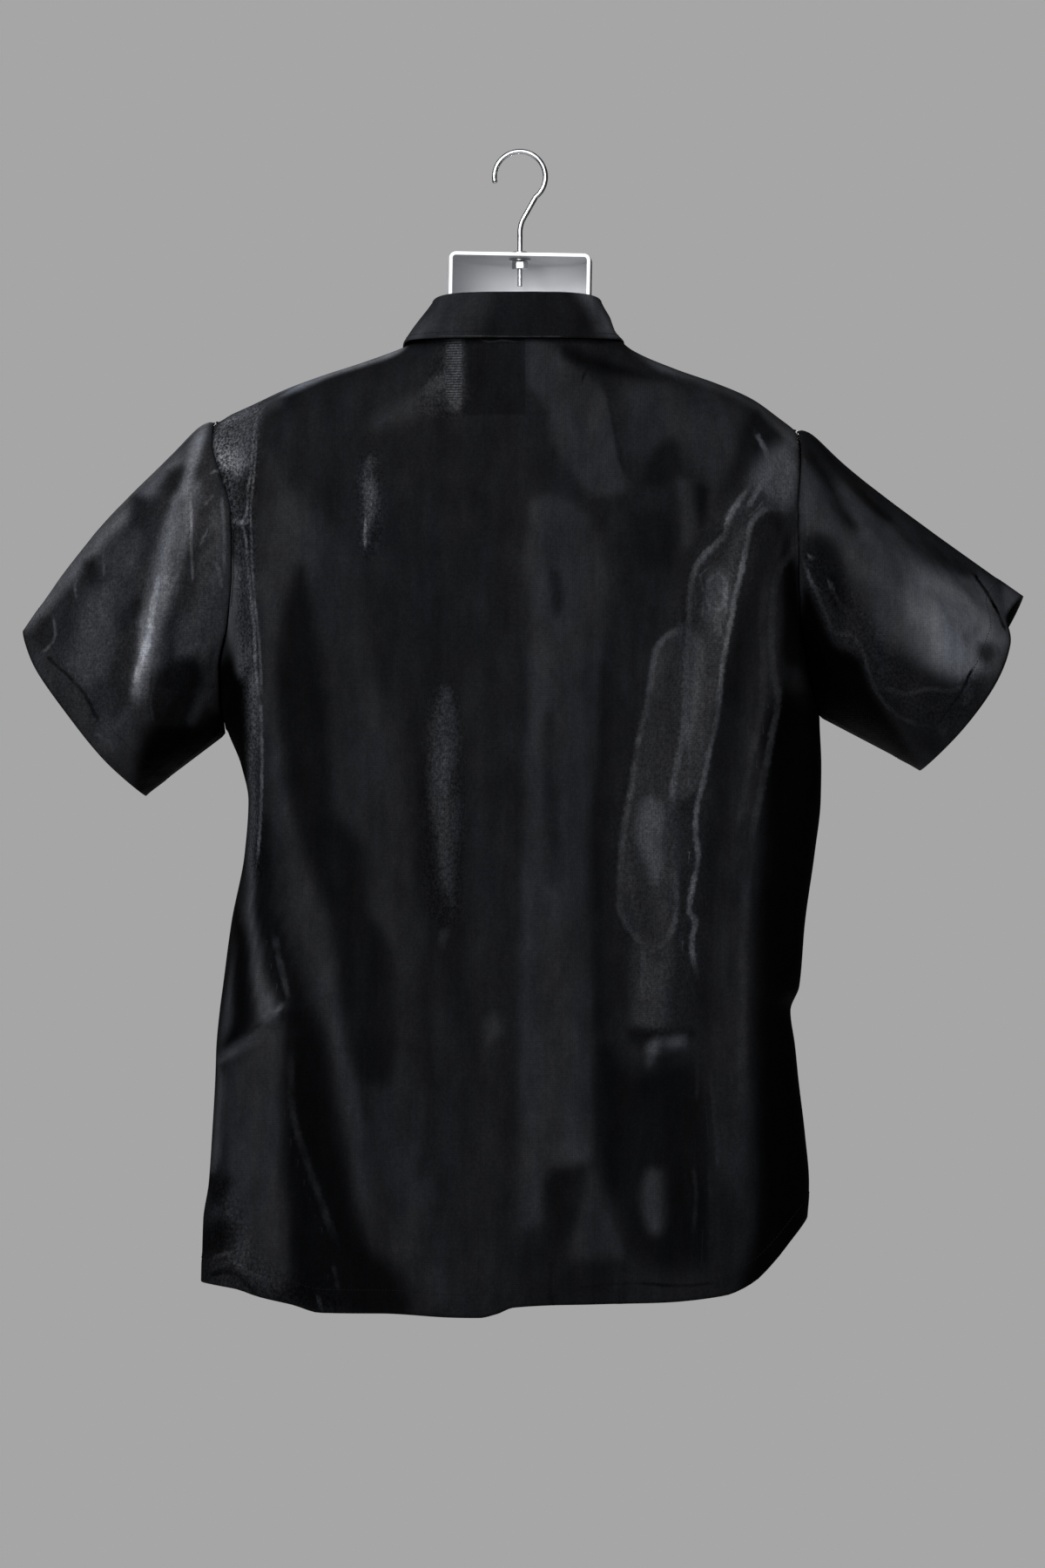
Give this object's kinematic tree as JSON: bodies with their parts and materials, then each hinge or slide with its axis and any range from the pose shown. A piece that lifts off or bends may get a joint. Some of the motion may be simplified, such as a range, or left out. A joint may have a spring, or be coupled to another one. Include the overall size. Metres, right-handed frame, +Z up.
{
  "type": "barong tagalog shirt on hanging torso form",
  "caption": "Short-sleeved sheer black barong shirt with fold-over collar, button front, curved hem and side slits, on a hollow-backed torso form with a hook.",
  "frame": {"origin": "inside top of the hook's loop, where the rail carries it", "axes": "+Z up, the shirt's front faces -Y, the wearer's left is +X"},
  "size_m": [0.786, 0.2251, 0.9101],
  "materials": {
    "satin": "sheer silky weave with a soft sheen",
    "button": "gloss",
    "label": "matt, plain",
    "form": "smooth, slightly milky",
    "steel": "plated wire"
  },
  "bodies": {
    "root": {"back_panel": "satin", "front_left": "satin", "front_right": "satin", "placket": "satin", "sleeve_left": "satin", "sleeve_right": "satin", "collar_stand": "satin", "collar_leaf": "satin", "neck_label": "label", "button_1": "button", "button_2": "button", "button_3": "button", "button_4": "button", "button_5": "button", "button_6": "button", "button_7": "button", "form_shell": "form", "hook": "steel", "hook_flange": "steel", "hook_washer": "steel", "hook_nut": "steel"}
  },
  "joints": []
}
